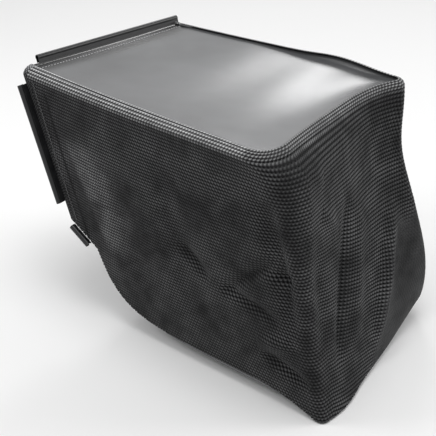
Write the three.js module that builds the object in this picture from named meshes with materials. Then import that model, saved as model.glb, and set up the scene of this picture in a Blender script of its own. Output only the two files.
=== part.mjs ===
// Grass collection bag for a walk-behind mower: a coated top, a net wall that runs round three
// sides, a coated floor, and the hard plastic channels that snap over the rods of the bag's frame.
// Millimetres. +X runs from the mouth to the rear, +Y to the right-hand side, +Z up from the ground.

import * as THREE from 'three';

// Driving sizes of the bag.
const rimLength = 520;
const bagWidth = 383;
const bagHeight = 446;
const floorLength = 552;
const halfWidth = bagWidth / 2;

// Cloth, and the clearance left between pieces that are sewn face to face.
const netThickness = 1.6;
const hemThickness = 2.4;
const coatedThickness = 1.4;
const seamGap = 0.3;
const clothLap = 8;
const greatestLapShare = 0.6;

// Mouth: its side edges lean back from the rim to the lip, and the far one is pulled back a little.
const mouthOverhang = 7;
const mouthTwist = 15;
const lipFront = { x: 70, z: 186 };
const lipRear = { x: 133, z: 146 };
const mouthFlange = 7;
const cornerFlangeShare = 0.35;
const lowerFlange = { height: 26, share: 0.4 };

// Shoulder, where the net rolls over the rim and is sewn down on the top.
const shoulderInset = 20;
const rearShoulderInset = 12;
const shoulderDrop = 13;

// Rim, which hangs in the middle of the left side and stands up at the rear corners.
const mouthRimRise = 11;
const rimHang = 6;
const rearRimHang = 6;
const rightRimRise = 4;
const rightRimCrest = { x: 395, height: 9, width: 70 };
const topSag = 14;

// Rear wall: rounded corners, a rim drawn inwards, a fuller left corner and a pinched right one.
const leftCornerRadius = 45;
const rightCornerRadius = 24;
const hemCornerRadius = 16;
const rearDrawIn = 23;
const rearBow = 17;
const rearSkew = 9;
const cornerPull = 44;
const rearFullness = 42;
const fullnessStart = 0.04;
const leftSwell = 12;
const rightPinch = { depth: 15, down: 0.17, reach: 0.15 };
const rightBulge = { depth: 9, down: 0.75, reach: 0.18 };
const hemTuck = 20;
const tuckPower = 9;
const hemBow = 12;
const hemSkew = 12;
const sideBelly = 9;

// Floor: the side seams stay off the ground, and the belly between them is pressed flat on it.
const seamLift = 29;
const bellyPress = 14;
const bellyRoundness = 6;
const bellyFrontShare = 0.125;
const bellyRearPower = 10;
const floorTurn = 3;
const seamDropLength = 132;
const lipSlopeLength = 48;
const leftHemHeight = 2;
const rearHemHeight = 9;
const rightHemHeight = 18;

// Channels: a round groove for the rod, a throat, and a long leg that is sewn to the cloth.
const rodGroove = 7.6;
const channelWall = 1.3;
const channelThroat = 5.8;
const channelDepth = 16;
const lowerChannelDepth = 10.8;
const frontLegShort = 1.5;
const lipRidge = 0.9;
const topChannelLength = 346;
const topChannelShift = 18;
const sideChannelLength = 222;
const sideChannelStart = 16;
const lowerChannelLength = 47;
const lowerChannelStart = 11;
const bottomChannelLength = 300;

// Steps of the cloth surfaces.
const sideSteps = 18;
const cornerSteps = 4;
const rearSteps = 18;
const wallRows = 15;
const shoulderAngles = [0, 0.45, 0.9, 1.28];

// Openings of the net: a plain grid on each of its three sides, counted in steps of the cloth.
const netOpening = 0.6;
const netStepAcross = 3;
const netFirstAcross = 1;
const netStepDown = 2;
const netRowsDown = 6;

// Soft creases that show from a step away. Each runs between two places on a wall, given as
// distance and height; a positive depth is a valley and a negative one a ridge.
const rearCreases = [
  { from: [-10, 318], to: [-107, 82], depth: 9, width: 20 },
  { from: [35, 300], to: [-62, 70], depth: -6, width: 26 },
  { from: [122, 225], to: [12, 12], depth: -9, width: 20 },
  { from: [165, 215], to: [62, 25], depth: 9, width: 26 },
];
const leftCreases = [
  { from: [500, 345], to: [535, 75], depth: 9, width: 26 },
  { from: [330, 330], to: [395, 120], depth: 7, width: 34 },
  { from: [180, 330], to: [250, 120], depth: 5, width: 40 },
];

const mix = (a, b, t) => a + (b - a) * t;
const clamp01 = (t) => Math.min(1, Math.max(0, t));
const bell = (x) => Math.exp(-x * x);

// Depth of a wall's creases at one place: a bell across each crease that fades at its ends.
function creaseDepth(creases, u, z) {
  let depth = 0;
  for (const crease of creases) {
    const du = crease.to[0] - crease.from[0];
    const dz = crease.to[1] - crease.from[1];
    const length = Math.hypot(du, dz);
    const along = ((u - crease.from[0]) * du + (z - crease.from[1]) * dz) / length;
    const across = ((u - crease.from[0]) * dz - (z - crease.from[1]) * du) / length;
    const fade = Math.sin(Math.PI * clamp01(along / length)) ** 0.7;
    depth += crease.depth * fade * bell(across / crease.width);
  }
  return depth;
}

// Share of a feature that fades from one rear corner, at -1, to a little past the middle.
const fadePast = 0.35;
const leftward = (share) => clamp01(fadePast - (1 - fadePast) * share);

// Rear wall: how far back it stands at a share of the half width and a share of the way down.
function rearX(share, down) {
  const rim = rimLength - rearDrawIn - rearSkew * share + rearBow * share * share
    + cornerPull * Math.max(share, 0) ** 4;
  const hem = lipFront.x + floorLength - hemSkew * share - hemBow * share * share;
  const full = leftward(share) * rearFullness * (1 - Math.exp(-down / fullnessStart)) * (1 - down) ** 2;
  const pinch = rightPinch.depth * bell((down - rightPinch.down) / rightPinch.reach);
  const bulge = rightBulge.depth * bell((down - rightBulge.down) / rightBulge.reach);
  const tuck = hemTuck * leftward(-share) * down ** tuckPower;
  return mix(rim, hem, down) + full + clamp01(share) * (bulge - pinch) - tuck;
}

// Height of the seam between a side and the floor: down from the lip, along, then to the ground.
function seamHeight(side, x) {
  const settle = clamp01(1 - (hemEndX(side) - x) / seamDropLength);
  const run = mix(seamLift, side < 0 ? leftHemHeight : rightHemHeight, settle * settle);
  if (x < lipRear.x) {
    return mix(lipFront.z, lipRear.z, (x - lipFront.x) / (lipRear.x - lipFront.x));
  }
  return run + (lipRear.z - run) * Math.exp(-(x - lipRear.x) / lipSlopeLength);
}

// One column of the wall: its place along the path, from the left mouth edge round to the right.
function sideColumn(side, share) {
  return { kind: 'side', side, share };
}

function cornerColumn(side, share) {
  return { kind: 'corner', side, share };
}

function rearColumn(share) {
  return { kind: 'rear', side: 0, share };
}

const rimRadius = (side) => (side < 0 ? leftCornerRadius : rightCornerRadius);
const cornerRadius = (side, down) => mix(rimRadius(side), hemCornerRadius, down);
const rearShare = (side, down) => side * (halfWidth - cornerRadius(side, down)) / halfWidth;

// Share of a side at which the lip ends and the floor begins.
const sideLeanPower = 0.75;
const hemEndX = (side) => rearX(rearShare(side, 1), 1) - hemCornerRadius;
const lipShare = (side) => {
  return ((lipRear.x - lipFront.x) / (hemEndX(side) - lipFront.x)) ** (1 / sideLeanPower);
};

// Place of a column in plan at a share of the way down.
function planPoint(column, down) {
  const { kind, side, share } = column;
  if (kind === 'rear') {
    const across = mix(rearShare(-1, down), rearShare(1, down), share);
    return [rearX(across, down), across * halfWidth];
  }
  const radius = cornerRadius(side, down);
  const back = rearX(rearShare(side, down), down);
  const swell = side < 0 ? leftSwell * (1 - down) ** 2 : 0;
  if (kind === 'corner') {
    const x = back - radius * (1 - share) ** 2;
    return [x, side * (halfWidth + swell * (1 - share * share) - radius * share * share)];
  }
  const mouthX = mix(side * mouthTwist - mouthOverhang, lipFront.x, down);
  const rimX = mix(mouthX, back - radius, share);
  const hemX = mix(mouthX, back - radius, share ** sideLeanPower);
  const belly = sideBelly * Math.sin(Math.PI * share) * Math.sin(Math.PI * down);
  return [mix(rimX, hemX, down), side * (halfWidth + belly + swell * share ** 3)];
}

// Height of the rim and of the lower edge of a column.
function rimHeight(column) {
  const { kind, side, share } = column;
  if (kind === 'rear') {
    const hang = rearRimHang * Math.sin(Math.PI * share);
    return bagHeight + rightRimRise * share - hang;
  }
  if (side < 0) {
    const hang = rimHang * Math.sin(Math.PI * share);
    return bagHeight + (kind === 'side' ? mouthRimRise * (1 - share) - hang : 0);
  }
  const fromCrest = planPoint(column, 0)[0] - rightRimCrest.x;
  return bagHeight + rightRimRise + rightRimCrest.height * bell(fromCrest / rightRimCrest.width);
}

function hemHeight(column) {
  const { kind, side, share } = column;
  if (kind === 'side') {
    return seamHeight(side, planPoint(column, 1)[0]);
  }
  if (kind === 'corner') {
    return side < 0 ? leftHemHeight : rightHemHeight;
  }
  const bow = rearHemHeight - (leftHemHeight + rightHemHeight) / 2;
  return mix(leftHemHeight, rightHemHeight, share) + bow * Math.sin(Math.PI * share);
}

// Inward direction of a column in plan.
function inward(column) {
  const { kind, side, share } = column;
  if (kind === 'rear') {
    return [-1, 0];
  }
  if (kind === 'side') {
    return [0, -side];
  }
  const angle = (share * Math.PI) / 2;
  return [-Math.sin(angle), -side * Math.cos(angle)];
}

function insetOf(column) {
  const { kind, side, share } = column;
  if (kind === 'side' && side < 0) {
    return mix(shoulderInset, rearShoulderInset, share ** 2);
  }
  return rearShoulderInset;
}

// A place on the net between the shoulder's top edge and the wall's lower edge.
function shoulderPoint(column, angle) {
  const [x, y] = planPoint(column, 0);
  const [nx, ny] = inward(column);
  const reach = insetOf(column) * (1 - Math.sin(angle));
  const z = rimHeight(column) - shoulderDrop * (1 - Math.cos(angle));
  return new THREE.Vector3(x + nx * reach, y + ny * reach, z);
}

function wallPoint(column, down) {
  const [x, y] = planPoint(column, down);
  const [nx, ny] = inward(column);
  const z = mix(rimHeight(column) - shoulderDrop, hemHeight(column), down);
  const edge = Math.min(1, 6 * down, 6 * (1 - down));
  const rear = column.kind === 'rear' ? creaseDepth(rearCreases, y, z) : 0;
  const left = column.kind === 'side' && column.side < 0 ? creaseDepth(leftCreases, x, z) : 0;
  const depth = edge * (rear + left);
  return new THREE.Vector3(x + nx * depth, y + ny * depth, z);
}

// Columns shared by the wall and by the edges of the top and the floor.
function sideColumns(side) {
  const lip = lipShare(side);
  const columns = [sideColumn(side, 0), sideColumn(side, lip)];
  for (let i = 1; i <= sideSteps; i += 1) {
    columns.push(sideColumn(side, mix(lip, 1, i / sideSteps)));
  }
  return columns;
}

function cornerColumns(side) {
  return Array.from({ length: cornerSteps - 1 }, (_, i) => cornerColumn(side, (i + 1) / cornerSteps));
}

function rearColumns() {
  return Array.from({ length: rearSteps + 1 }, (_, i) => rearColumn(i / rearSteps));
}

const leftSide = sideColumns(-1);
const leftCorner = cornerColumns(-1);
const rearRun = rearColumns();
const rightCorner = cornerColumns(1).reverse();
const rightSide = sideColumns(1).reverse();
const wallColumns = [...leftSide, ...leftCorner, ...rearRun, ...rightCorner, ...rightSide];

// A sheet of cloth as one closed solid: both faces stand half the thickness off the given points,
// along the mean normal there, and every free edge is closed. A step of the grid can hold an
// opening, which leaves a rim of cloth round it.
function clothSolid(grid, thicknessAt, opensAt = () => false) {
  const points = [];
  const halves = [];
  const known = new Map();
  const indexOf = (point, i) => {
    const key = point.toArray().map((value) => value.toFixed(4)).join(' ');
    if (!known.has(key)) {
      known.set(key, points.length);
      points.push(point);
      halves.push(thicknessAt(i) / 2);
    }
    return known.get(key);
  };
  const index = grid.map((column, i) => column.map((point) => indexOf(point, i)));
  const triangles = [];
  for (let i = 0; i < index.length - 1; i += 1) {
    for (let j = 0; j < index[i].length - 1; j += 1) {
      const outer = [index[i][j], index[i + 1][j], index[i + 1][j + 1], index[i][j + 1]];
      if (opensAt(i, j)) {
        const inner = outer.map((corner, k) => {
          return indexOf(points[corner].clone().lerp(points[outer[(k + 2) % 4]], (1 - netOpening) / 2), i);
        });
        outer.forEach((corner, k) => {
          const next = (k + 1) % 4;
          triangles.push([corner, outer[next], inner[next]], [corner, inner[next], inner[k]]);
        });
      } else {
        const [a, b, c, d] = outer;
        triangles.push([a, b, c], [a, c, d]);
      }
    }
  }
  const whole = triangles.filter((corners) => new Set(corners).size === 3);
  const normals = points.map(() => new THREE.Vector3());
  for (const [a, b, c] of whole) {
    const ab = points[b].clone().sub(points[a]);
    const ac = points[c].clone().sub(points[a]);
    const normal = ab.cross(ac);
    for (const corner of [a, b, c]) {
      normals[corner].add(normal);
    }
  }
  const vertices = [];
  for (const side of [1, -1]) {
    points.forEach((point, i) => {
      const offset = normals[i].clone().normalize().multiplyScalar(side * halves[i]);
      vertices.push(...point.clone().add(offset).toArray());
    });
  }
  const under = points.length;
  const faces = [];
  const edges = new Set();
  for (const [a, b, c] of whole) {
    faces.push(a, b, c, under + a, under + c, under + b);
    [[a, b], [b, c], [c, a]].forEach(([p, q]) => edges.add(`${p} ${q}`));
  }
  for (const edge of edges) {
    const [p, q] = edge.split(' ').map(Number);
    if (!edges.has(`${q} ${p}`)) {
      faces.push(q, p, under + p, q, under + p, under + q);
    }
  }
  const geometry = new THREE.BufferGeometry();
  geometry.setAttribute('position', new THREE.Float32BufferAttribute(vertices, 3));
  geometry.setIndex(faces);
  return geometry;
}

// Shares of the way down at which the wall has a row of points, closer together near the rim.
const downSteps = Array.from({ length: wallRows + 1 }, (_, j) => (j / wallRows) ** 1.25);

// Up the plane of the mouth.
const mouthUp = new THREE.Vector3(
  -mouthOverhang - mouthTwist - lipFront.x, 0, bagHeight - lipFront.z,
).normalize();

// The net wall, with its mouth edges turned outwards as flanges for the side channels.
function netWall() {
  const columnPoints = (column) => [
    ...shoulderAngles.map((angle) => shoulderPoint(column, angle)),
    ...downSteps.map((down) => wallPoint(column, down)),
  ];
  const flange = (column) => {
    const points = columnPoints(column);
    return points.map((point, j) => {
      const angle = j < shoulderAngles.length ? shoulderAngles[j] : Math.PI / 2;
      const out = mouthUp.clone().multiplyScalar(Math.cos(angle));
      out.y += column.side * Math.sin(angle);
      const turned = Math.max(cornerFlangeShare, Math.abs(Math.cos(2 * angle)));
      const kept = point.z < lipFront.z + lowerFlange.height ? lowerFlange.share : 1;
      return point.clone().addScaledVector(out, mouthFlange * turned * kept);
    });
  };
  const first = wallColumns[0];
  const last = wallColumns[wallColumns.length - 1];
  const grid = [flange(first), ...wallColumns.map(columnPoints), flange(last)];
  const hemColumns = new Set([0, 1, 2, grid.length - 3, grid.length - 2, grid.length - 1]);
  const firstRear = 1 + leftSide.length + leftCorner.length;
  const firstRight = firstRear + rearRun.length + rightCorner.length;
  const starts = [hemColumns.size / 2, firstRear, firstRight];
  const opensAt = (i, j) => {
    const row = j - shoulderAngles.length;
    const rowOpens = row > 0 && row % netStepDown === 0 && row <= netStepDown * netRowsDown;
    const place = starts.map((start) => i - start).find((k) => k >= 0 && k < sideSteps);
    return rowOpens && place !== undefined && place % netStepAcross === netFirstAcross;
  };
  return clothSolid(grid, (i) => (hemColumns.has(i) ? hemThickness : netThickness), opensAt);
}

// A patch of cloth between four edges: the two ruled surfaces less the bilinear one.
function patch(left, right, front, rear) {
  const shares = (edge) => {
    const lengths = [0];
    for (let i = 1; i < edge.length; i += 1) {
      lengths.push(lengths[i - 1] + edge[i].distanceTo(edge[i - 1]));
    }
    return lengths.map((length) => length / lengths[lengths.length - 1]);
  };
  const us = shares(left);
  const vs = shares(rear);
  const [a, b] = [left[0], right[0]];
  const [c, d] = [left[left.length - 1], right[right.length - 1]];
  return us.map((u, i) => vs.map((v, j) => {
    const point = left[i].clone().multiplyScalar(1 - v).addScaledVector(right[i], v);
    point.addScaledVector(front[j], 1 - u).addScaledVector(rear[j], u);
    point.addScaledVector(a, -(1 - u) * (1 - v)).addScaledVector(b, -(1 - u) * v);
    point.addScaledVector(c, -u * (1 - v)).addScaledVector(d, -u * v);
    return { point, u, v };
  }));
}

// Edges of a patch from points that follow the wall, split in the middle of each corner.
function patchEdges(points, start) {
  const half = (leftCorner.length - 1) / 2;
  const leftMiddle = leftSide.length + half;
  const rightMiddle = leftSide.length + leftCorner.length + rearRun.length + half;
  return [
    points.slice(start, leftMiddle + 1),
    points.slice(rightMiddle, points.length - start).reverse(),
    points.slice(leftMiddle, rightMiddle + 1),
  ];
}

function line(from, to, like) {
  const total = like[like.length - 1].distanceTo(like[0]);
  return like.map((point) => from.clone().lerp(to, point.distanceTo(like[0]) / total));
}

// How far the middle of the coated cloth stands from the middle of the net or hem it is sewn to.
const seamOffset = netThickness / 2 + seamGap + coatedThickness / 2 + (hemThickness - netThickness);

// The top: it reaches under the shoulder, hangs between its edges, and turns up at the front.
function topEdge(column) {
  const angle = Math.asin(Math.min(greatestLapShare, clothLap / insetOf(column)));
  const point = shoulderPoint(column, angle);
  const [nx, ny] = inward(column);
  const tilt = Math.atan2(shoulderDrop * Math.sin(angle), insetOf(column) * Math.cos(angle));
  const below = new THREE.Vector3(nx * Math.sin(tilt), ny * Math.sin(tilt), -Math.cos(tilt));
  return point.addScaledVector(below, seamOffset);
}

const [topLeft, topRight, topRear] = patchEdges(wallColumns.map(topEdge), 0);
topLeft[0].x -= seamOffset;
topRight[0].x -= seamOffset;
const topFront = line(topLeft[0], topRight[0], topRear);

function topPanel() {
  const rows = patch(topLeft, topRight, topFront, topRear).map((row) => row.map(({ point, u, v }) => {
    const sag = topSag * (1 - (2 * u - 1) ** 4) * (1 - (2 * v - 1) ** 4);
    return point.setZ(point.z - sag);
  }));
  const turnUp = rows[0].map((point) => point.clone().addScaledVector(mouthUp, mouthFlange));
  return clothSolid([turnUp, ...rows], () => coatedThickness);
}

// The floor: its edges turn up inside the wall, its front turns out at the lip, and it lies flat.
function floorEdge(raise) {
  const points = wallColumns.map((column) => {
    const low = wallPoint(column, 1);
    const above = wallPoint(column, downSteps[wallRows - 1]);
    return low.lerp(above, raise / (above.z - low.z));
  });
  const normals = points.slice(1).map((point, i) => {
    return new THREE.Vector3(points[i].y - point.y, point.x - points[i].x, 0).normalize();
  });
  return points.map((point, i) => {
    const before = normals[Math.max(i - 1, 0)];
    const middle = before.clone().add(normals[Math.min(i, normals.length - 1)]).normalize();
    return point.clone().addScaledVector(middle, seamOffset / middle.dot(before));
  });
}

const lipOut = new THREE.Vector3(seamLift - lipRear.z, 0, -lipSlopeLength).normalize();
const [floorLeft, floorRight, floorRear] = patchEdges(floorEdge(floorTurn), 1);
const floorFront = line(floorLeft[0], floorRight[0], floorRear);

function floorPanel() {
  const [upLeft, upRight, upRear] = patchEdges(floorEdge(floorTurn + clothLap), 1);
  const rows = patch(floorLeft, floorRight, floorFront, floorRear);
  const grid = rows.map((row, i) => {
    const inner = row.map(({ point, u, v }) => {
      const across = 1 - (2 * v - 1) ** bellyRoundness;
      const along = Math.min(1, u / bellyFrontShare) * (1 - u ** bellyRearPower);
      const drop = (seamLift + floorTurn + bellyPress) * across * along;
      return point.setZ(Math.max(point.z - drop, coatedThickness / 2));
    });
    return [upLeft[i], ...inner, upRight[i]];
  });
  const turnUp = [upRear[0], ...upRear, upRear[upRear.length - 1]];
  const turnOut = rows[0].map(({ point }) => point.clone().addScaledVector(lipOut, mouthFlange));
  return clothSolid([[upLeft[0], ...turnOut, upRight[0]], ...grid, turnUp], () => coatedThickness);
}

// Outline of a channel, as depth from the cloth outwards and distance in front of the cloth: the
// sewn leg with its ridge, the round end, the front leg, then back round the groove.
function channelOutline(depth) {
  const outer = rodGroove / 2 + channelWall;
  const legs = channelThroat / 2 + channelWall;
  const across = depth - outer;
  const outerStart = Math.PI + Math.asin(legs / outer);
  const innerStart = Math.PI - Math.asin(channelThroat / rodGroove);
  const shape = new THREE.Shape();
  shape.moveTo(0, channelWall);
  shape.lineTo(0, 0);
  shape.absarc(across, legs, outer, outerStart, Math.PI * 3 - Math.asin(legs / outer), false);
  shape.lineTo(frontLegShort, 2 * legs);
  shape.lineTo(frontLegShort, 2 * legs - channelWall);
  shape.absarc(across, legs, rodGroove / 2, innerStart, -innerStart, true);
  shape.lineTo(lipRidge * 3, channelWall);
  shape.lineTo(lipRidge * 2, channelWall + lipRidge);
  shape.lineTo(0, channelWall + lipRidge);
  shape.closePath();
  return shape;
}

// A channel between two points on the edge of the cloth, its round end pointing outwards.
function channel(from, to, outwards, standOff, depth = channelDepth) {
  const along = to.clone().sub(from);
  const length = along.length();
  along.normalize();
  const out = outwards.clone().addScaledVector(along, -outwards.dot(along)).normalize();
  const front = along.clone().cross(out);
  const geometry = new THREE.ExtrudeGeometry(channelOutline(depth), {
    depth: length,
    bevelEnabled: false,
    curveSegments: 10,
  });
  const origin = from.clone().addScaledVector(front, standOff);
  geometry.applyMatrix4(new THREE.Matrix4().makeBasis(out, front, along).setPosition(origin));
  return geometry;
}

const clothColour = { colour: '#262829', roughness: 0.8 };
const coatedColour = { colour: '#5a5c5e', roughness: 0.42 };
const plasticColour = { colour: '#35383b', roughness: 0.38 };

const group = new THREE.Group();
function add(name, geometry, finish) {
  const material = new THREE.MeshStandardMaterial({
    color: finish.colour,
    roughness: finish.roughness,
    metalness: 0,
  });
  const mesh = new THREE.Mesh(geometry, material);
  mesh.name = name;
  group.add(mesh);
}

add('mesh_wall', netWall(), clothColour);
add('top_panel', topPanel(), coatedColour);
add('bottom_panel', floorPanel(), coatedColour);

// Channels: their sewn legs stand in front of the turned-out edges of the cloth.
const mouthEdge = (side, down) => wallPoint(sideColumn(side, 0), down);
const hemStandOff = hemThickness / 2 + seamGap;
const coatedStandOff = coatedThickness / 2 + seamGap;

function onLine(from, to, start, length) {
  const along = to.clone().sub(from).normalize();
  const first = from.clone().addScaledVector(along, start);
  return [first, first.clone().addScaledVector(along, length)];
}

function topChannel() {
  const start = (topLeft[0].distanceTo(topRight[0]) - topChannelLength) / 2 + topChannelShift;
  const [from, to] = onLine(topLeft[0], topRight[0], start, topChannelLength);
  return channel(to, from, mouthUp, coatedStandOff);
}

function sideChannel(side) {
  const [from, to] = onLine(mouthEdge(side, 0), mouthEdge(side, 1), sideChannelStart, sideChannelLength);
  const ends = side < 0 ? [from, to] : [to, from];
  return channel(...ends, new THREE.Vector3(0, side, 0), hemStandOff);
}

// Short channels along the slanting lip, against the outer faces of the side hems.
function lowerChannel(side) {
  const lipEnd = wallPoint(sideColumn(side, lipShare(side)), 1);
  const [from, to] = onLine(mouthEdge(side, 1), lipEnd, lowerChannelStart, lowerChannelLength);
  const out = new THREE.Vector3(0, side, 0);
  const seated = [from, to].map((end) => end.clone().addScaledVector(out, hemStandOff));
  const ends = side < 0 ? seated : seated.reverse();
  return channel(...ends, out, 0, lowerChannelDepth);
}

// Bottom channel across the front of the floor, pointing down and forwards.
function bottomChannel() {
  const start = (floorLeft[0].distanceTo(floorRight[0]) - bottomChannelLength) / 2;
  const [from, to] = onLine(floorLeft[0], floorRight[0], start, bottomChannelLength);
  return channel(from, to, lipOut, coatedStandOff);
}

add('top_channel', topChannel(), plasticColour);
add('left_lower_channel', lowerChannel(-1), plasticColour);
add('right_lower_channel', lowerChannel(1), plasticColour);
add('bottom_channel', bottomChannel(), plasticColour);
add('left_side_channel', sideChannel(-1), plasticColour);
add('right_side_channel', sideChannel(1), plasticColour);

// The origin is the middle of the bag's box, on the ground.
const box = new THREE.Box3().setFromObject(group);
group.position.set(-(box.min.x + box.max.x) / 2, -(box.min.y + box.max.y) / 2, -box.min.z);

export default group;
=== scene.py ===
"""Looks of a mower's grass collection bag: net walls, a coated top and floor, plastic channels."""

import math

import bpy
import numpy as np
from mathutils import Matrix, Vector


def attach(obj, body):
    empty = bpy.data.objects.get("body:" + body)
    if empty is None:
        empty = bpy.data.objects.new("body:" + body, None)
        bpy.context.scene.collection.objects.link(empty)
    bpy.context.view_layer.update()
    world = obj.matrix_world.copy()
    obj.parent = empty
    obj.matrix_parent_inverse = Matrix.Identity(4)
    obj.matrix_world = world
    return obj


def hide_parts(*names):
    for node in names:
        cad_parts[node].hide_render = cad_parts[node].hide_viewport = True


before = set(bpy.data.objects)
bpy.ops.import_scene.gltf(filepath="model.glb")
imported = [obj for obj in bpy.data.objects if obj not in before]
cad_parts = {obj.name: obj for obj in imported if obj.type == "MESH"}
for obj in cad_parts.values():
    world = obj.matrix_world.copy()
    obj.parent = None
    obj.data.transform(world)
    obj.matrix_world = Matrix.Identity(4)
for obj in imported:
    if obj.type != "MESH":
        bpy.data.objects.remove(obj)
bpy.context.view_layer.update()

# Stage: a pale floor under the bag, a white surround, and four soft rectangular lamps. The top
# panel mirrors the tall one. The camera stands behind the bag's left corner and looks down at
# 30 degrees. Places are in metres, and the lens and its sensor in millimetres.
FLOOR_REACH = 4.0
FLOOR_DROP = 0.0004
SURROUND_LIGHT = 0.52
BAG_MIDDLE = (0, 0, 0.25)
PANEL_REAR = (0.1, 0.05, 0.45)
CAMERA_PLACE = (0.92513, -1.2087, 1.0461)
CAMERA_AIM = (-0.5409, 0.6809, -0.4937)
CAMERA_LENS = 78.44
SENSOR_WIDTH = 36.0


class Socket:
    """An output socket of a material's node tree, or a number, that takes part in arithmetic."""

    def __init__(self, tree, value):
        self.tree = tree
        self.value = value

    def node(self, kind, *inputs, out=0, **settings):
        """Add one node of a kind, set its options, feed its inputs in order, give an output."""
        made = self.tree.nodes.new(kind)
        for name, setting in settings.items():
            setattr(made, name, setting)
        for place, source in enumerate(inputs):
            if source is not None:
                self.feed(made.inputs[place], source)
        return Socket(self.tree, made.outputs[out])

    def feed(self, socket, source):
        """Link a socket to a source, or set it where the source is a plain value."""
        if isinstance(source, Socket):
            source = source.value
        if isinstance(source, bpy.types.NodeSocket):
            self.tree.links.new(source, socket)
        else:
            socket.default_value = source

    def math(self, operation, *others):
        """One step of arithmetic on this socket and others."""
        return self.node("ShaderNodeMath", self, *others, operation=operation)

    def __add__(self, other):
        return self.math("ADD", other)

    def __radd__(self, other):
        return self.math("ADD", other)

    def __sub__(self, other):
        return self.math("SUBTRACT", other)

    def __rsub__(self, other):
        return Socket(self.tree, other).math("SUBTRACT", self)

    def __mul__(self, other):
        return self.math("MULTIPLY", other)

    def __rmul__(self, other):
        return self.math("MULTIPLY", other)

    def sine(self):
        return self.math("SINE")

    def between(self, low, high):
        """0 below low and 1 above high, with a straight rise between them."""
        return self.node("ShaderNodeMapRange", self, low, high, 0.0, 1.0)


class Finish:
    """A material with a Principled shader, whose constants are set and whose maps are linked."""

    def __init__(self, name, **constants):
        self.material = bpy.data.materials.new(name)
        self.material.use_nodes = True
        self.tree = self.material.node_tree
        self.shader = self.tree.nodes["Principled BSDF"]
        for key, value in constants.items():
            self.shader.inputs[key.replace("_", " ")].default_value = value
        self.none = Socket(self.tree, None)

    def place(self):
        """Object coordinates, in metres."""
        return self.none.node("ShaderNodeTexCoord", out=3)

    def attribute(self, name):
        """The number that each point of the mesh keeps under a name."""
        return self.none.node("ShaderNodeAttribute", out=2, attribute_name=name)

    def noise(self, place, scale, detail=3.0):
        """Soft spots from 0 to 1, about so many to the metre."""
        return self.none.node("ShaderNodeTexNoise", place, None, scale, detail)

    def colours(self, factor, dark, light):
        """The base colour runs from dark to light as the factor goes from 0 to 1."""
        mixed = self.none.node("ShaderNodeMix", out=2, data_type="RGBA")
        made = mixed.value.node
        mixed.feed(made.inputs[0], factor)
        made.inputs[6].default_value = (*dark, 1.0)
        made.inputs[7].default_value = (*light, 1.0)
        mixed.feed(self.shader.inputs["Base Color"], mixed)

    def rough(self, source):
        """The roughness, from 0 for a mirror to 1 for chalk."""
        self.none.feed(self.shader.inputs["Roughness"], source)

    def bump(self, height, strength, distance):
        """A height from 0 to 1, as a share of a distance in metres, turns the shading normal."""
        made = self.none.node("ShaderNodeBump", strength, distance, None, height)
        self.none.feed(self.shader.inputs["Normal"], made)


def mesh_object(name, points, faces, finish):
    """One smooth object at the origin, from an array of points in metres and arrays of faces."""
    mesh = bpy.data.meshes.new(name)
    sizes = np.concatenate([np.full(len(part), part.shape[1]) for part in faces])
    corners = np.concatenate([part.ravel() for part in faces])
    mesh.vertices.add(len(points))
    mesh.vertices.foreach_set("co", np.asarray(points, dtype=np.float32).ravel())
    mesh.loops.add(len(corners))
    mesh.loops.foreach_set("vertex_index", corners.astype(np.int32))
    mesh.polygons.add(len(sizes))
    starts = np.concatenate([[0], np.cumsum(sizes)[:-1]])
    mesh.polygons.foreach_set("loop_start", starts.astype(np.int32))
    mesh.polygons.foreach_set("loop_total", sizes.astype(np.int32))
    mesh.polygons.foreach_set("use_smooth", np.ones(len(sizes), dtype=bool))
    mesh.update(calc_edges=True)
    mesh.validate()
    mesh.materials.append(finish.material)
    made = bpy.data.objects.new(name, mesh)
    bpy.context.scene.collection.objects.link(made)
    return made


floor_finish = Finish("floor_white", Base_Color=(0.86, 0.86, 0.86, 1.0), Roughness=0.9)
floor_corners = np.array([[-1, -1, 0], [1, -1, 0], [1, 1, 0], [-1, 1, 0]]) * FLOOR_REACH
floor_corners[:, 2] = -FLOOR_DROP
ground = mesh_object("ground", floor_corners, [np.array([[0, 1, 2, 3]])], floor_finish)

bpy.context.scene.view_settings.view_transform = "Standard"
world = bpy.data.worlds.new("surround")
bpy.context.scene.world = world
world.use_nodes = True
camera_ray = Socket(world.node_tree, None).node("ShaderNodeLightPath")
rays = camera_ray.value.node.outputs
seen = camera_ray.math("MAXIMUM", Socket(world.node_tree, rays["Is Glossy Ray"]))
seen = seen.math("MAXIMUM", Socket(world.node_tree, rays["Is Transmission Ray"]))
background = world.node_tree.nodes["Background"]
background.inputs["Color"].default_value = (1.0, 1.0, 1.0, 1.0)
seen.feed(background.inputs["Strength"], seen * (1.0 - SURROUND_LIGHT) + SURROUND_LIGHT)


def lamp(name, place, target, width, height, power):
    """A soft rectangular lamp, in metres and watts, that shines from a place to a target."""
    data = bpy.data.lights.new(name, "AREA")
    data.shape = "RECTANGLE"
    data.size = width
    data.size_y = height
    data.energy = power
    made = bpy.data.objects.new(name, data)
    aim = Vector(target) - Vector(place)
    made.location = place
    made.rotation_euler = aim.to_track_quat("-Z", "Y").to_euler()
    bpy.context.scene.collection.objects.link(made)


lamp("rear_softbox", (-1.84, 2.93, 2.95), PANEL_REAR, width=0.75, height=1.3, power=27)
lamp("overhead", (0.1, -0.3, 2.9), BAG_MIDDLE, width=1.4, height=1.4, power=34)
lamp("right_fill", (2.0, 2.0, 1.9), BAG_MIDDLE, width=1.0, height=1.0, power=26)
lamp("left_fill", (-1.5, -1.15, 1.6), BAG_MIDDLE, width=0.7, height=0.7, power=12)

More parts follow.
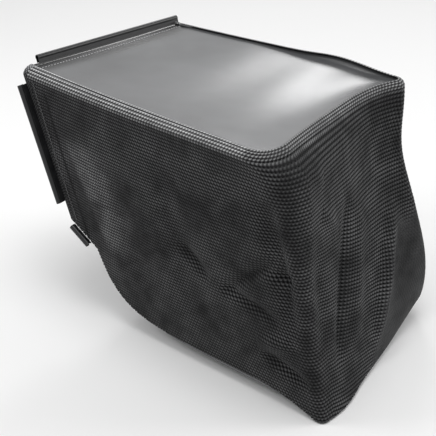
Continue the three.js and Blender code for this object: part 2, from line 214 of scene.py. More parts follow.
camera = bpy.data.objects.new("camera", bpy.data.cameras.new("camera"))
camera.location = CAMERA_PLACE
camera.rotation_euler = Vector(CAMERA_AIM).to_track_quat("-Z", "Y").to_euler()
camera.data.lens = CAMERA_LENS
camera.data.sensor_width = SENSOR_WIDTH
bpy.context.scene.collection.objects.link(camera)
bpy.context.scene.camera = camera

# Net wall: coated polyester net with holes 6 by 5.7 mm apart, in one strip round three sides.
# It rolls over the rim and is sewn to the floor, and its rows sink towards the right rear corner.
# Its holes narrow inwards. By the lip they open wider and the yarn is painted paler, painted light that
# stands for light shining through the net, and it is closed low on the right of the rear.

# Sizes in millimetres: x back from the mouth's rim, y to the bag's right, z up from the ground.
BOX_MIDDLE = 294.8675
HALF_WIDTH = 191.5
LEFT_MOUTH = -22
RIGHT_MOUTH = 8
LEFT_RADIUS = 45
RIGHT_RADIUS = 24
HEM_RADIUS = 16
SIDE_BELLY = 9
SHOULDER_SWELL = 12

# The rear wall, at its rim and at its lower edge, and what swells it or draws it in. The pairs
# are a bell's middle and half width, as shares of the way down or of the half width.
RIM_BACK = 497
RIM_SKEW = 9
RIM_BOW = 17
CORNER_PULL = 44
HEM_BACK = 622
HEM_SKEW = 12
HEM_BOW = 12
FULLNESS = 42
FULLNESS_RISE = 0.04
PINCH = 20
PINCH_DOWN = (0.26, 0.19)
BULGE = 18
BULGE_DOWN = (0.75, 0.22)
LOW_SWELL = 10
LOW_SWELL_ACROSS = (-0.75, 0.3)
TUCK = 20
EVEN_SHARE = 0.35

# The rim: its shoulder's height and insets, its heights, and its crests on the right side as
# height, middle and half width.
SHOULDER = 13
SHOULDER_INSET = 12
MOUTH_INSET = 8
RIM_HEIGHT = 446
RIM_HANG = 6
MOUTH_RISE = 11
CORNER_RISE = 7.5
RIGHT_RIM_HEIGHT = 450
RIGHT_RIM_LIFT = 3.5
RIM_CRESTS = ((9, 395, 70), (3, 290, 110))

# The lower edge: down the lip, back along the belly, and down to the two rear corners.
LIP_TOP = 186
LIP_TOP_X = 70
LIP_FOOT = 146
LIP_FOOT_X = 133
BELLY_HEIGHT = 29
SLOPE_RUN = 48
SETTLE_RUN = 132
LEFT_CORNER = 2.0
LEFT_CORNER_X = 613.0
RIGHT_CORNER = 18.0
RIGHT_CORNER_X = 570.0

# Creases as both ends of a straight line, then depth and half width. The ends are y and height
# on the rear, and x and height on the left side.
CREASE_FADE = 6
REAR_CREASES = [
    ((-15, 318), (-125, 72), 12, 12),
    ((30, 300), (-80, 60), -7, 20),
    ((130, 250), (-20, 12), -12, 15),
    ((175, 235), (50, 15), 9, 26),
    ((-115, 330), (-60, 290), -6, 14),
    ((-130, 410), (-95, 380), -6, 16),
    ((-140, 300), (-150, 120), 5, 16),
]
LEFT_CREASES = [
    ((505, 375), (572, 150), 14, 20),
    ((425, 178), (525, 275), 11, 11),
    ((425, 192), (540, 160), 9, 10),
    ((500, 250), (600, 232), 8, 9),
    ((505, 92), (600, 62), 12, 11),
    ((495, 112), (565, 128), -9, 14),
    ((330, 240), (400, 190), 9, 12),
    ((300, 380), (380, 90), 5, 34),
    ((180, 330), (250, 120), 5, 40),
]


def bell(value, middle, width):
    """1 at the middle and less on both sides: e to the minus square of the distance in widths."""
    return np.exp(-(((value - middle) / width) ** 2))


def framed(points):
    """Metres in the model's frame: the middle of the bag's box is at x = 0."""
    return (np.asarray(points) - [BOX_MIDDLE, 0.0, 0.0]) / 1000.0


def rear_x(share, down):
    """How far back the rear wall stands, at a share of the half width and of the way down.

    The rim and the lower edge are each a parabola across the width, and the rim is pulled back
    at the right corner by a fourth power. To the straight line between the two come a fullness
    at the left, which is an exponential rise times a falling square of the way down, a swell
    low on the left, which is a bell across times a fifth power, and a bulge less a pinch at the
    right, each a bell down the wall. A tuck just above the lower edge comes off, which is a
    twentieth power.
    """
    rim = RIM_BACK - RIM_SKEW * share + RIM_BOW * share**2 + CORNER_PULL * np.maximum(share, 0) ** 4
    hem = HEM_BACK - HEM_SKEW * share - HEM_BOW * share**2
    leftward = np.clip(EVEN_SHARE - (1 - EVEN_SHARE) * share, 0, 1)
    rightward = np.clip(EVEN_SHARE + (1 - EVEN_SHARE) * share, 0, 1)
    full = leftward * FULLNESS * (1 - np.exp(-down / FULLNESS_RISE)) * (1 - down) ** 2
    low = LOW_SWELL * bell(share, *LOW_SWELL_ACROSS) * down**5
    bulge = BULGE * bell(down, *BULGE_DOWN)
    pinch = PINCH * bell(down, *PINCH_DOWN)
    sideways = np.clip(share, 0, 1) * (bulge - pinch)
    return rim + (hem - rim) * down + full + low + sideways - TUCK * rightward * down**20


def along_path(around, down):
    """Where a share of the way round the bag falls, at a share of the way down.

    The path has five stretches: back along the left side, round a corner, across the rear, round
    the other corner and forwards along the right side. Gives x, y, how far along its stretch the
    place is, and the stretch's number. A side bellies out by a sine of its length times a sine of
    the way down, and a corner is one parabola in x and one in y. The left side also swells
    towards its corner by a cube of its length, most at the shoulder.
    """
    left_radius = LEFT_RADIUS - (LEFT_RADIUS - HEM_RADIUS) * down
    right_radius = RIGHT_RADIUS - (RIGHT_RADIUS - HEM_RADIUS) * down
    left_back = rear_x(-(HALF_WIDTH - left_radius) / HALF_WIDTH, down)
    right_back = rear_x((HALF_WIDTH - right_radius) / HALF_WIDTH, down)
    left_mouth = LEFT_MOUTH * (1 - down) + LIP_TOP_X * down
    right_mouth = RIGHT_MOUTH * (1 - down) + LIP_TOP_X * down
    runs = [
        left_back - left_radius - left_mouth,
        left_radius * np.pi / 2,
        2 * HALF_WIDTH - left_radius - right_radius,
        right_radius * np.pi / 2,
        right_back - right_radius - right_mouth,
    ]
    place = around * sum(runs)
    share = place / runs[0]
    stretch = np.zeros(place.shape, dtype=int)
    start = runs[0]
    for number, run in enumerate(runs[1:], 1):
        here = place >= start
        stretch[here] = number
        share = np.where(here, (place - start) / run, share)
        start = start + run

    def belly(along):
        return SIDE_BELLY * np.sin(np.pi * np.clip(along, 0, 1)) * np.sin(np.pi * down)

    rest = 1 - share
    swell = SHOULDER_SWELL * (1 - down) ** 2
    across = -(HALF_WIDTH - left_radius) / HALF_WIDTH + share * runs[2] / HALF_WIDTH
    x = [
        left_mouth + share * runs[0],
        left_back - left_radius * (1 - share) ** 2,
        rear_x(across, down),
        right_back - right_radius * (1 - rest) ** 2,
        right_mouth + rest * runs[4],
    ]
    y = [
        -(HALF_WIDTH + belly(share) + swell * share**3),
        -(HALF_WIDTH + swell * (1 - share * share) - left_radius * share * share),
        across * HALF_WIDTH,
        HALF_WIDTH - right_radius * rest * rest,
        HALF_WIDTH + belly(rest),
    ]
    return np.choose(stretch, x), np.choose(stretch, y), share, stretch


def on_rim(around):
    """How far along its stretch a place on the rim is, and the stretch's number."""
    return along_path(around, np.zeros_like(around))[2:]


def rim_height(around):
    """Height of the rim: a sine hangs it a little on the left and rear, and bells crest the right."""
    x, _, share, stretch = along_path(around, np.zeros_like(around))
    hang = RIM_HANG * np.sin(np.pi * share)
    left = RIM_HEIGHT + MOUTH_RISE * (1 - share) - hang
    rear = RIM_HEIGHT + CORNER_RISE * share - hang
    right = RIGHT_RIM_HEIGHT
    for height, middle, width in RIM_CRESTS:
        right = right + height * bell(x, middle, width)
    right = right + RIGHT_RIM_LIFT * np.where(stretch == 4, 1 - share**3, 1)
    return np.choose(stretch, [left, np.full_like(around, RIM_HEIGHT), rear, right, right])


def hem_height(around):
    """Height of the seam with the floor.

    It is straight down the lip, nears the belly's height by an exponential behind it, and
    settles to the corner's height by a square. Along the rear it is straight, less a sine.
    """
    x, _, share, stretch = along_path(around, np.ones_like(around))
    lip = LIP_TOP - (LIP_TOP - LIP_FOOT) * (x - LIP_TOP_X) / (LIP_FOOT_X - LIP_TOP_X)
    sides = []
    for corner, corner_x in ((LEFT_CORNER, LEFT_CORNER_X), (RIGHT_CORNER, RIGHT_CORNER_X)):
        settle = np.clip(1 - (corner_x - x) / SETTLE_RUN, 0, 1)
        run = BELLY_HEIGHT + (corner - BELLY_HEIGHT) * settle**2
        sloped = run + (LIP_FOOT - run) * np.exp(-(x - LIP_FOOT_X) / SLOPE_RUN)
        sides.append(np.where(x < LIP_FOOT_X, lip, sloped))
    rear = LEFT_CORNER + (RIGHT_CORNER - LEFT_CORNER) * share - np.sin(np.pi * share)
    left_corner = np.full_like(around, LEFT_CORNER)
    right_corner = np.full_like(around, RIGHT_CORNER)
    return np.choose(stretch, [sides[0], left_corner, rear, right_corner, sides[1]])


def wall_height(around):
    """From the lower edge up to the shoulder."""
    return rim_height(around) - SHOULDER - hem_height(around)


def inward(share, stretch):
    """Direction in plan from the wall to the inside; it turns evenly round each corner."""
    left = share * np.pi / 2
    right = (1 - share) * np.pi / 2
    zero = np.zeros_like(share)
    one = np.ones_like(share)
    inward_x = np.choose(stretch, [zero, -np.sin(left), -one, -np.sin(right), zero])
    inward_y = np.choose(stretch, [one, np.cos(left), zero, -np.cos(right), -one])
    return inward_x, inward_y


def shoulder_inset(share, stretch):
    """How far in from the wall the shoulder's inner edge lies: more on the left, by the mouth."""
    return np.where(stretch == 0, SHOULDER_INSET + MOUTH_INSET - MOUTH_INSET * share**2, SHOULDER_INSET)


def crease_depth(creases, across, height):
    """Sum of bells across straight lines; each fades at its line's ends by a power of a sine."""
    total = np.zeros_like(across)
    for start, end, depth, width in creases:
        run = end[0] - start[0]
        rise = end[1] - start[1]
        length = math.hypot(run, rise)
        along = ((across - start[0]) * run + (height - start[1]) * rise) / length
        off = ((across - start[0]) * rise - (height - start[1]) * run) / length
        fade = np.sin(np.pi * np.clip(along / length, 0, 1)) ** 0.7
        total += depth * fade * bell(off, 0, width)
    return total


def wall(around, drop):
    """A place on the net: a share of the way round, and a drop below the rolled shoulder.

    Below the shoulder it is on the path at that share of the wall's height, moved in by the
    creases, which fade at the top and bottom. A drop from -1 to 0 is on the shoulder: a quarter
    of an ellipse from its inner edge to the wall.
    """
    rim = rim_height(around)
    hem = hem_height(around)
    down = np.clip(drop / (rim - SHOULDER - hem), 0, 1)
    x, y, share, stretch = along_path(around, down)
    z = rim - SHOULDER + (hem - rim + SHOULDER) * down
    to_left_corner = (1 - share) ** 2
    rear = crease_depth(REAR_CREASES, y, z) * np.choose(stretch, [0, share**2, 1, to_left_corner, 0])
    left = crease_depth(LEFT_CREASES, x, z) * np.choose(stretch, [1, to_left_corner, 0, 0, 0])
    edge = np.minimum(1, np.minimum(CREASE_FADE * down, CREASE_FADE * (1 - down)))
    depth = edge * (rear + left)
    inward_x, inward_y = inward(share, stretch)
    low = np.stack([x + inward_x * depth, y + inward_y * depth, z], axis=-1)

    x, y, share, stretch = along_path(around, np.zeros_like(around))
    inward_x, inward_y = inward(share, stretch)
    angle = (1 + np.clip(drop, -1, 0)) * np.pi / 2
    reach = shoulder_inset(share, stretch) * (1 - np.sin(angle))
    height = rim - SHOULDER * (1 - np.cos(angle))
    rolled = np.stack([x + inward_x * reach, y + inward_y * reach, height], axis=-1)
    return np.where((drop < 0)[..., None], rolled, low)


def thick(points, faces, thickness, under=None):
    """A closed solid from a sheet: both faces half the thickness off the points, edges walled.

    The inner face has points of its own where they are given, such as those of smaller holes.
    """
    normals = np.zeros_like(points)
    for part in faces:
        corner = points[part]
        if part.shape[1] == 4:
            face = np.cross(corner[:, 2] - corner[:, 0], corner[:, 3] - corner[:, 1])
        else:
            face = np.cross(corner[:, 1] - corner[:, 0], corner[:, 2] - corner[:, 0])
        for column in range(part.shape[1]):
            np.add.at(normals, part[:, column], face)
    normals /= np.maximum(np.linalg.norm(normals, axis=1, keepdims=True), 1e-12)
    offset = normals * np.asarray(thickness).reshape(-1, 1) / 2
    inner = points if under is None else under
    count = len(points)
    start = np.concatenate([part.ravel() for part in faces])
    end = np.concatenate([np.roll(part, -1, axis=1).ravel() for part in faces])
    free = ~np.isin(start * count + end, end * count + start)
    walls = np.stack([end[free], start[free], start[free] + count, end[free] + count], axis=1)
    inner_faces = [part[:, ::-1] + count for part in faces]
    return np.concatenate([points + offset, inner - offset]), [*faces, *inner_faces, walls]


def used(points, faces, *more):
    """The same sheet without the points that no face uses."""
    keep = np.unique(np.concatenate([part.ravel() for part in faces]))
    place = np.full(len(points), -1)
    place[keep] = np.arange(len(keep))
    return points[keep], [place[part] for part in faces], *(extra[keep] for extra in more)


def net_cells(columns, rows, hole):
    """A staggered net as a flat lattice of six-cornered holes, in units of one hole's pitch.

    Each hole is the regular six-cornered tile shrunk to a share of its size. A strip of net lies
    between each hole and its right, lower right and lower left neighbours, and a triangle, the
    knot, lies where three strips meet. Gives the corners, and for each face its corners and the
    column that it belongs to.
    """
    tile = np.array([(0, -2), (1.5, -1), (1.5, 1), (0, 2), (-1.5, 1), (-1.5, -1)]) / 3
    row, column = np.meshgrid(np.arange(rows), np.arange(columns), indexing="ij")
    centre = np.stack([column + 0.5 * (row % 2), row], axis=-1).astype(float)
    corners = (centre[:, :, None, :] + tile * hole).reshape(-1, 2)
    odd = (row % 2).astype(int)

    def corner(rows_on, columns_on, number):
        return ((row + rows_on) * columns + column + columns_on) * 6 + number

    def face(*its_corners):
        return np.stack([corner(*one) for one in its_corners], -1)

    before = odd - 1
    right = face((0, 0, 1), (0, 0, 2), (0, 1, 4), (0, 1, 5))
    lower_right = face((0, 0, 2), (0, 0, 3), (1, odd, 5), (1, odd, 0))
    lower_left = face((0, 0, 3), (0, 0, 4), (1, before, 0), (1, before, 1))
    side_knot = face((0, 0, 2), (1, odd, 0), (0, 1, 4))
    low_knot = face((0, 0, 3), (1, before, 1), (1, odd, 5))
    not_last = column < columns - 1
    has_lower_right = (row < rows - 1) & (column + odd < columns)
    has_lower_left = (row < rows - 1) & (column + before >= 0)
    strips = ((right, not_last), (lower_right, has_lower_right), (lower_left, has_lower_left))
    knots = ((side_knot, not_last & has_lower_right), (low_knot, has_lower_right & has_lower_left))
    faces = [np.concatenate([part[kept] for part, kept in group]) for group in (strips, knots)]
    owners = [np.concatenate([column[kept] for _, kept in group]) for group in (strips, knots)]
    return corners, faces, owners


# Yarn: painted shade in the gaps and on the inner face and a painted highlight on the crowns, in soft
# patches, with the strongest painted highlight on the rolled shoulder.
net_finish = Finish("net_yarn", Roughness=0.5, Specular_IOR_Level=0.05)
place = net_finish.place()
patchy = net_finish.noise(place, 11.0, 2.0).between(0.36, 0.64)
mottle = net_finish.noise(place, 45.0).between(0.3, 0.7)
yarn = net_finish.noise(place, 900.0, 2.0).between(0.2, 0.8)
rolled = net_finish.attribute("roll")
held_up = patchy * (1.0 - rolled) * 0.8 + rolled * 0.4
lit = net_finish.attribute("painted_crown") * (held_up + mottle * 0.35 + yarn * 0.25 + 0.2)
# The colour is held low off the roll and raised on it: a painted highlight on the rolled shoulder.
lit = (lit + (1.0 - patchy) * 0.05) * (rolled * 0.87 + 0.13)
net_finish.colours(lit, (0.002, 0.0021, 0.0024), (0.8, 0.805, 0.815))
net_finish.rough(yarn * 0.16 + 0.42)
net_finish.bump(yarn, 0.5, 0.0004)

NET_COLUMNS = 236
NET_ROWS = 86
NET_PITCH = 5.7
NET_START = 0.0065
NET_THICKNESS = 1.5
HOLE_SIZE = np.array([0.74, 0.6])
ROLL_ROWS = 4
ROW_SINK = 55
SINK_RUN = 150
HEM_END = 0.031
corners, faces, owners = net_cells(NET_COLUMNS, NET_ROWS, HOLE_SIZE)
centres = np.repeat(corners.reshape(-1, 6, 2).mean(axis=1), 6, axis=0)


def net_places(cells):
    """Places round the bag and drops of lattice corners; the first four rows are on the roll.

    The rows sink by up to 55 mm towards the right-hand rear corner, and come back up on the side.
    """
    around = NET_START + cells[:, 0] / NET_COLUMNS * (1 - 2 * NET_START)
    rows_down = cells[:, 1] - ROLL_ROWS
    drop = np.where(rows_down < 0, cells[:, 1] / ROLL_ROWS - 1, rows_down * NET_PITCH)
    share, stretch = on_rim(around)
    to_corner = np.choose(stretch, [0, 0, share, 1, 1 - share])
    sink = ROW_SINK * to_corner * (1 - np.exp(-np.maximum(drop, 0) / SINK_RUN))
    return around, np.maximum(np.where(drop > 0, drop + sink, drop), -1)


# The patch by the lip with wider holes and painted light, and the zone low on the rear that is closed.
HEM_SLANT = 0.49
PATCH_FRONT = (78, 333)
PATCH_LENGTH = 104
PATCH_FADE = 74
PATCH_FOOT = 150
PATCH_TOP = 356
FOLD_SHADE_HEIGHT = 248
CLOSED_HEIGHTS = [30, 81, 166, 212]
CLOSED_FROM = [-22, 13, 70, 114]
CLOSED_TOP = 226
CLOSED_SHARE = 0.85


def open_backlit_patch(points, stretch):
    """1 where the net by the lip has wider holes and paler painted light, 0 elsewhere.

    The patch runs from a slanting line behind the hem back to a ragged edge, which is two sines
    of the height, and it fades at its top, its bottom and its rear. A band of painted fold shade,
    10 mm wide, crosses it and weakens it.
    """
    x, _, z = points.T
    from_hem = x - PATCH_FRONT[0] - HEM_SLANT * (PATCH_FRONT[1] - z)
    ragged = 7 * np.sin(z / 11) + 5 * np.sin(z / 4.7 + x / 9)
    high = np.clip((PATCH_TOP - z) / 22, 0, 1) * np.clip((z - PATCH_FOOT) / 40, 0, 1)
    to_edge = np.clip((PATCH_LENGTH + ragged - from_hem) / PATCH_FADE, 0, 1)
    wide = np.clip(from_hem / 9, 0, 1) * to_edge
    return (stretch == 0) * high * wide * (1 - 0.7 * bell(z - ragged, FOLD_SHADE_HEIGHT, 10))


def closed_up(points, stretch):
    """1 where the net is closed low on the right of the rear, 0 elsewhere, with a soft edge.

    The zone lies to the right of a bent line, given by places across the rear at four heights,
    that a sine of the height makes uneven.
    """
    _, y, z = points.T
    from_line = y - np.interp(z, CLOSED_HEIGHTS, CLOSED_FROM) + 4 * np.sin(z / 13)
    low = np.clip((CLOSED_TOP + 5 * np.sin(y / 9) - z) / 24, 0, 1)
    return np.isin(stretch, (1, 2, 3)) * np.clip(from_line / 18, 0, 1) * low


def per_corner(side, rear, shoulder):
    """A number for each corner of each hole: six for the sides, six for the rear, six for the roll."""
    side, rear, shoulder = (np.tile(six, NET_COLUMNS * NET_ROWS) for six in (side, rear, shoulder))
    return side * (1 - on_rear - on_roll) + rear * on_rear + shoulder * on_roll


def keep_numbers(made, name, values):
    """Keep a number for each point of an object under a name."""
    kept = made.data.attributes.new(name, "FLOAT", "POINT")
    kept.data.foreach_set("value", values.astype(np.float32))


_, stretch = on_rim(net_places(corners)[0])
middles = wall(*net_places(centres))
open_and_backlit = open_backlit_patch(middles, stretch)
closed = closed_up(middles, stretch)
corners = centres + (corners - centres) * (1 - CLOSED_SHARE * closed)[:, None]
around, drop = net_places(corners)
share, stretch = on_rim(around)
net_points = wall(around, drop)
narrow = (0.02 + 0.14 * open_and_backlit)[:, None]
inner_points = wall(*net_places(centres + (corners - centres) * narrow))
past = drop >= wall_height(around)
net_row = corners[:, 1]
on_roll = np.clip((6 - net_row) / 2, 0, 1)
on_rear = np.choose(stretch, [0, share, 1, 1 - share, 0]) * (1 - on_roll)

# What the yarn adds to the net's thickness, in millimetres, and its painted highlight on the crowns
# against painted shade in the gaps, in other amounts on the sides, the rear and the roll. Each row of
# six runs round a hole from its top corner to its upper left one.
rib = per_corner(
    [-0.2, -0.2, 0.0, 0.5, 0.45, -0.1],
    [-0.3, -0.4, 0.6, 0.9, 0.4, -0.4],
    [-0.4, -0.5, 0.6, 0.9, -0.5, -0.5],
)
# In the patch by the lip the crowns are painted paler: painted light.
painted_crown_light = per_corner(
    [0.0, 0.0, 0.04, 0.95, 0.85, 0.06],
    [0.08, 0.0, 0.58, 1.25, 0.36, 0.0],
    [0.06, 0.04, 0.5, 1.0, 0.04, 0.02],
) * (1 + 1.2 * open_and_backlit)
# Painted shade: the crowns darken along the inner edge of the hem band behind the net.
hem_edge_shade = bell(np.minimum(around, 1 - around), HEM_END, 0.0025)
painted_crown_light *= 1 - 0.75 * hem_edge_shade * np.clip((net_row - 5) / 4, 0, 1)
painted_crown_light += (0.3 - painted_crown_light) * closed
rib += (0.2 - rib) * closed
# Painted highlight on the net's rolled shoulder: full on the sides and half on the rear.
roll = np.clip((4.9 - net_row) / 2, 0, 1) * np.where(np.isin(stretch, (0, 4)), 1, 0.5)
_, column_stretch = on_rim(np.linspace(NET_START, 1 - NET_START, NET_COLUMNS))

# The net was cut 1.6 m long and 0.47 m wide; these are its three stretches, laid flat, and the
# share of each that is left when the mouth's slant and the lower edge are cut off.
for name, stretches, cut, share_left in (
    ("net_left", (0,), (0.56, 0.46), 0.79),
    ("net_rear", (1, 2, 3), (0.47, 0.47), 0.95),
    ("net_right", (4,), (0.57, 0.46), 0.8),
):
    chosen = []
    for part, owner in zip(faces, owners):
        keep = np.isin(column_stretch[owner], stretches) & ~past[part].all(axis=1)
        chosen.append(part[keep])
    sheet = used(net_points, chosen, inner_points, rib, painted_crown_light, roll)
    points, chosen, inner, raised, painted_crown, rolled = sheet
    solid, solid_faces = thick(points, chosen, NET_THICKNESS + raised, inner)
    made = mesh_object(name, framed(solid), solid_faces, net_finish)
    # The inner face gets no crown light: it is painted shade.
    keep_numbers(made, "painted_crown", np.concatenate([painted_crown, painted_crown * 0]))
    keep_numbers(made, "roll", np.tile(rolled, 2))
    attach(made, "root")
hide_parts("mesh_wall")

# Mouth hems: a band of close dark cloth 44 mm wide behind the net along each edge of the mouth.
# They are 2.2 mm thick and sewn to the net; at the edge itself they take its place, by the
# channel's flat tail. Their places are shares of the way round, 1400 mm along the rim.
HEM_THICKNESS = 2.2
HEM_WEAVE = (2.6, 2.3)
WAY_ROUND = 1400
HEM_REACHES = np.array([0, 0.003, 0.005, 0.0085, 0.015, 0.022, 0.029, HEM_END])
HEM_BEHIND = np.array([0, 0, 0, 2.6, 2.6, 2.6, 2.4, 1.4])

hem_finish = Finish("net_hem", Roughness=0.7, Specular_IOR_Level=0.15)
along = (hem_finish.attribute("along") * (math.pi / HEM_WEAVE[0])).sine()
across = (hem_finish.attribute("across") * (math.pi / HEM_WEAVE[1])).sine()
weave = along * across
# The hem is painted lighter where it rolls over the rim: a painted highlight.
lit = weave.between(-0.5, 0.9) * (hem_finish.attribute("roll") * 0.86 + 0.14)
hem_finish.colours(lit, (0.004, 0.0042, 0.0046), (0.46, 0.465, 0.475))
hem_finish.bump(weave.between(-1.0, 1.0), 0.7, 0.001)


def lengths_along(line):
    """Length of a line from its first point to each of its points."""
    return np.concatenate([[0], np.cumsum(np.linalg.norm(np.diff(line, axis=0), axis=1))])


def quads(rows, columns):
    """Faces of a grid of points, row after row; they face up where columns run to the left."""
    index = np.arange(rows * columns).reshape(rows, columns)
    corners = [index[:-1, :-1], index[1:, :-1], index[1:, 1:], index[:-1, 1:]]
    return np.stack(corners, axis=-1).reshape(-1, 4)


for name, edge, step in (("left_hem", 0.0, 1), ("right_hem", 1.0, -1)):
    reaches = HEM_REACHES[::step]
    downs = np.concatenate([np.linspace(-1, -0.1, 9), np.linspace(0, 1, 80)])
    rows, columns = len(downs), len(reaches)
    around, down = (grid.ravel() for grid in np.meshgrid(edge + step * reaches, downs))
    points = wall(around, np.where(down > 0, down * wall_height(around), down))
    angle = (1 + np.minimum(down, 0)) * np.pi / 2
    behind = np.tile(HEM_BEHIND[::step], rows)
    points[:, 1] += step * behind * np.sin(angle)
    points[:, 2] -= behind * np.cos(angle)
    length = lengths_along(points.reshape(rows, columns, 3)[:, 3])
    rolled = np.clip(1.2 - 1.3 * (downs + 1), 0, 1)
    solid, solid_faces = thick(points, [quads(rows, columns)], np.full(len(points), HEM_THICKNESS))
    made = mesh_object(name, framed(solid), solid_faces, hem_finish)
    keep_numbers(made, "along", np.tile(np.repeat(length, columns), 2))
    keep_numbers(made, "across", np.tile(reaches * WAY_ROUND, 2 * rows))
    keep_numbers(made, "roll", np.tile(np.repeat(rolled, columns), 2))
    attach(made, "root")

# Top panel: smooth coated cloth 1.4 mm thick that hangs a little between its edges.
# It is sewn along the top channel, and it reaches 8 mm under the net's rolled shoulder.
CLOTH_THICKNESS = 1.4
CLOTH_BELOW = 2.6
CLOTH_UNDER_NET = 8
SIDE_PLACES = 90
REAR_PLACES = 80
MIDDLE_HANG = 9
REAR_HANG = 13
TURN_UP = 1.5
FRONT_SHADE_REACH = 26
FRONT_SHADE_FADE = 13

coated = Finish("coated_cloth", Roughness=0.42, Specular_IOR_Level=0.55)
place = coated.place()
cloud = coated.noise(place, 5.0)
grain = coated.noise(place, 1500.0, 1.0)
# The cloth is darkened near its front edge by the top channel: painted shade.
tone = (cloud.between(0.35, 0.65) * 0.34 + 0.66) * (1.0 - coated.attribute("painted_front_shade"))
coated.colours(tone, (0.006, 0.0062, 0.0066), (0.096, 0.098, 0.102))
coated.rough(cloud * 0.08 + grain * 0.03 + 0.18)
coated.bump(grain, 0.25, 0.0002)


def patch(left, right, front, rear):
    """Points of the patch between four edges: the two ruled surfaces less the bilinear one."""
    back = lengths_along(left)
    over = lengths_along(rear)
    back = (back / back[-1])[:, None, None]
    over = (over / over[-1])[None, :, None]
    across = left[:, None] * (1 - over) + right[:, None] * over
    along = front[None] * (1 - back) + rear[None] * back
    front_corners = left[0] * (1 - back) * (1 - over) + right[0] * (1 - back) * over
    ruled = front_corners + left[-1] * back * (1 - over) + right[-1] * back * over
    return across + along - ruled, back[..., 0], over[..., 0]


def split_edges(points):
    """Left, right and rear edges of a patch from points all round, split at the corners."""
    right_corner = SIDE_PLACES + REAR_PLACES
    left = points[: SIDE_PLACES + 1]
    return left, points[right_corner:][::-1], points[SIDE_PLACES : right_corner + 1]


def front_edge(left, right, rear):
    """A straight edge between the fronts of both sides, with points spaced as on the rear edge."""
    share = np.linalg.norm(rear - rear[0], axis=1) / np.linalg.norm(rear[-1] - rear[0])
    return left[0] + (right[0] - left[0]) * share[:, None]


def coated_panel(name, grid):
    """One solid of coated cloth on a grid of places."""
    rows, columns = grid.shape[:2]
    thickness = np.full(rows * columns, CLOTH_THICKNESS)
    solid, solid_faces = thick(grid.reshape(-1, 3), [quads(rows, columns)], thickness)
    made = mesh_object(name, framed(solid), solid_faces, coated)
    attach(made, "root")
    return made


probe = np.linspace(0, 1, 20001)
share, stretch = on_rim(probe)
left_middle = probe[np.argmax((stretch == 1) & (share > 0.5))]
right_middle = probe[np.argmax((stretch == 3) & (share > 0.5))]
around = np.concatenate([
    np.linspace(0, left_middle, SIDE_PLACES, endpoint=False),
    np.linspace(left_middle, right_middle, REAR_PLACES, endpoint=False),
    np.linspace(right_middle, 1, SIDE_PLACES + 1),
])
share, stretch = on_rim(around)
inset = shoulder_inset(share, stretch)
angle = np.arcsin(np.minimum(0.6, CLOTH_UNDER_NET / inset))
edge = wall(around, angle / (np.pi / 2) - 1 - 1e-6)
inward_x, inward_y = inward(share, stretch)
tilt = np.arctan2(SHOULDER * np.sin(angle), inset * np.cos(angle))
below = np.stack([inward_x * np.sin(tilt), inward_y * np.sin(tilt), -np.cos(tilt)], axis=1)
edge += CLOTH_BELOW * below
left, right, rear = split_edges(edge)
left[0, 0] -= CLOTH_BELOW
right[0, 0] -= CLOTH_BELOW

# It hangs by a parabola across its width, and lower towards its right rear corner, where it
# climbs steeply to the rim.
top, back, over = patch(left, right, front_edge(left, right, rear), rear)
rearward = np.clip((back - 0.35) / 0.6, 0, 1)
rearward = rearward**2 * (3 - 2 * rearward)
hang = MIDDLE_HANG * (1 - (2 * over - 1) ** 2) + REAR_HANG * rearward * over * (1 - over**80)
top[..., 2] -= hang * (1 - (2 * back - 1) ** 4)
mouth_up = np.array([LEFT_MOUTH - LIP_TOP_X, 0.0, RIM_HEIGHT - LIP_TOP])
mouth_up /= np.linalg.norm(mouth_up)
top = np.concatenate([(top[0] + TURN_UP * mouth_up)[None], top])
top_cloth = coated_panel("top_cloth", top)
# Painted shade: full for 26 mm behind the front edge, then fading over about 13 mm.
from_front = np.linalg.norm(top - top[1], axis=2).ravel()
painted_front_shade = 0.96 * bell(np.maximum(from_front - FRONT_SHADE_REACH, 0), 0, FRONT_SHADE_FADE)
keep_numbers(top_cloth, "painted_front_shade", np.tile(painted_front_shade, 2))
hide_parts("top_panel")

# Floor: the same coated cloth, sewn to the net's lower edge. It turns up inside the wall and
# lies flat in the middle. Its front edge turns out 7 mm at the lip for the bottom channel.
FLOOR_TURN_UP = (3, 11)
FLOOR_FALL = 46
LIP_PLACE = 7
LIP_TURN_OUT = 7


def floor_edges(raised):
    """Left, right and rear edges a little above the wall's lower edge, 2.6 mm inside it.

    The first seven places of each side, along the lip above the floor, are left out.
    """
    points = wall(around, wall_height(around) - raised)
    step = np.gradient(points[:, :2], axis=0)
    inside = np.stack([-step[:, 1], step[:, 0]], axis=1)
    inside /= np.linalg.norm(inside, axis=1, keepdims=True)
    points[:, :2] += CLOTH_BELOW * inside
    left, right, rear = split_edges(points)
    return left[LIP_PLACE:], right[LIP_PLACE:], rear


left, right, rear = floor_edges(FLOOR_TURN_UP[0])
up_left, up_right, up_rear = floor_edges(FLOOR_TURN_UP[1])
bottom, back, over = patch(left, right, front_edge(left, right, rear), rear)
fall = FLOOR_FALL * (1 - (2 * over - 1) ** 6) * np.minimum(1, 8 * back) * (1 - back**10)
bottom[..., 2] = np.maximum(bottom[..., 2] - fall, CLOTH_THICKNESS / 2)
lip_out = np.array([-117.0, 0, -48.0])
lip_out /= np.linalg.norm(lip_out)
bottom = np.concatenate([(bottom[0] + LIP_TURN_OUT * lip_out)[None], bottom, up_rear[None]])
up_left = np.concatenate([up_left[:1], up_left, up_left[-1:]])
up_right = np.concatenate([up_right[:1], up_right, up_right[-1:]])
bottom = np.concatenate([up_left[:, None], bottom, up_right[:, None]], axis=1)
floor_cloth = coated_panel("floor_cloth", bottom)
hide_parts("bottom_panel")

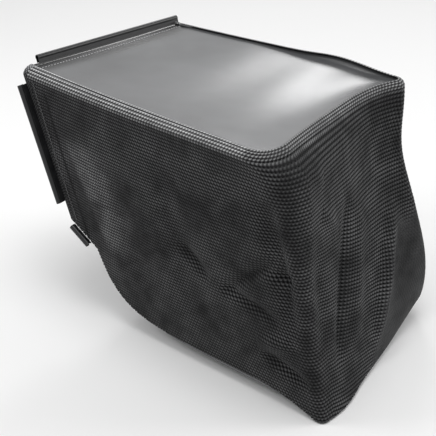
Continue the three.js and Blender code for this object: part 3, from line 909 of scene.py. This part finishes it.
# Sewing thread: a dark zigzag 1.2 mm thick holds each mouth hem, and a pale row 2 mm thick runs
# along the front of the top panel, beside the top channel. Each stitch is a small bar.
THREAD_SIDES = 6
ZIGZAG_REACHES = (0.0125, 0.0165)
ZIGZAG_STEP = 3.2
ZIGZAG_MARGIN = 4
ZIGZAG_OUT = 1.7
ZIGZAG_RADIUS = 0.6
SEAM_BEHIND_CHANNEL = 2.5
SEAM_ABOVE_CLOTH = 0.9
SEAM_MARGIN = 14
SEAM_STEP = 6.6
SEAM_STITCH = 3.9
SEAM_RADIUS = 1.0

thread = {"Roughness": 0.7, "Specular_IOR_Level": 0.2}
pale_thread = Finish("pale_thread", Base_Color=(0.42, 0.42, 0.43, 1.0), **thread)
dark_thread = Finish("dark_thread", Base_Color=(0.1, 0.1, 0.102, 1.0), **thread)


def stitches(name, starts, ends, radius, finish):
    """A bar with six sides for each pair of places, in bag millimetres; the ends are pointed."""
    axis = ends - starts
    axis /= np.linalg.norm(axis, axis=1, keepdims=True)
    side = np.cross(axis, [0.31, 0.12, 0.94])
    side /= np.linalg.norm(side, axis=1, keepdims=True)
    other = np.cross(axis, side)
    turn = np.arange(THREAD_SIDES) * 2 * np.pi / THREAD_SIDES
    ring = side[:, None] * np.cos(turn)[:, None] + other[:, None] * np.sin(turn)[:, None]
    ring = ring * radius
    near = starts[:, None] + axis[:, None] * radius + ring
    far = ends[:, None] - axis[:, None] * radius + ring
    points = np.concatenate([starts[:, None], near, far, ends[:, None]], axis=1)
    start = np.arange(len(starts))[:, None] * points.shape[1]
    end = start + points.shape[1] - 1
    tips, walls = [], []
    for number in range(THREAD_SIDES):
        near = start + 1 + number
        near_next = start + 1 + (number + 1) % THREAD_SIDES
        far = near + THREAD_SIDES
        far_next = near_next + THREAD_SIDES
        tips.append(np.concatenate([start, near_next, near], axis=1))
        tips.append(np.concatenate([end, far, far_next], axis=1))
        walls.append(np.concatenate([near, near_next, far_next, far], axis=1))
    bars = [np.concatenate(walls), np.concatenate(tips)]
    made = mesh_object(name, framed(points.reshape(-1, 3)), bars, finish)
    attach(made, "root")


for name, edge, step in (("left_zigzag", 0.0, 1), ("right_zigzag", 1.0, -1)):
    length = float(wall_height(np.array([edge]))[0])
    count = int(length / ZIGZAG_STEP)
    outer, inner = ZIGZAG_REACHES
    places = edge + step * np.where(np.arange(count) % 2, outer, inner)
    line = wall(places, np.linspace(ZIGZAG_MARGIN, length - ZIGZAG_MARGIN, count))
    line[:, 1] -= step * ZIGZAG_OUT
    stitches(name, line[:-1], line[1:], ZIGZAG_RADIUS, dark_thread)

channel_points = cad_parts["top_channel"].data.vertices
channel_back = max(point.co.x for point in channel_points) * 1000 + BOX_MIDDLE
middle_line = top[:, top.shape[1] // 2, 0]
seam = top[np.argmax(middle_line > channel_back + SEAM_BEHIND_CHANNEL)] + [0, 0, SEAM_ABOVE_CLOTH]
length = lengths_along(seam)
begin = np.arange(SEAM_MARGIN, length[-1] - SEAM_MARGIN, SEAM_STEP)
starts, ends = (
    np.stack([np.interp(place, length, seam[:, axis]) for axis in range(3)], axis=1)
    for place in (begin, begin + SEAM_STITCH)
)
stitches("top_seam", starts, ends, SEAM_RADIUS, pale_thread)

# Channels: dark extruded plastic with a faintly cloudy sheen, sewn on by their flat tails.
# The top one and the pair beside the mouth are pushed over the frame's rods; two short ones
# and a bottom one edge the lip. Their solids stay as they are.
plastic = Finish("channel_plastic", Roughness=0.3, Specular_IOR_Level=0.35)
cloud = plastic.noise(plastic.place(), 60.0)
plastic.colours(cloud.between(0.3, 0.7), (0.009, 0.0093, 0.01), (0.016, 0.0165, 0.0175))
plastic.rough(cloud * 0.15 + 0.24)
for node in (
    "top_channel",
    "left_side_channel",
    "right_side_channel",
    "left_lower_channel",
    "right_lower_channel",
    "bottom_channel",
):
    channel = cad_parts[node]
    channel.data.materials.clear()
    channel.data.materials.append(plastic.material)
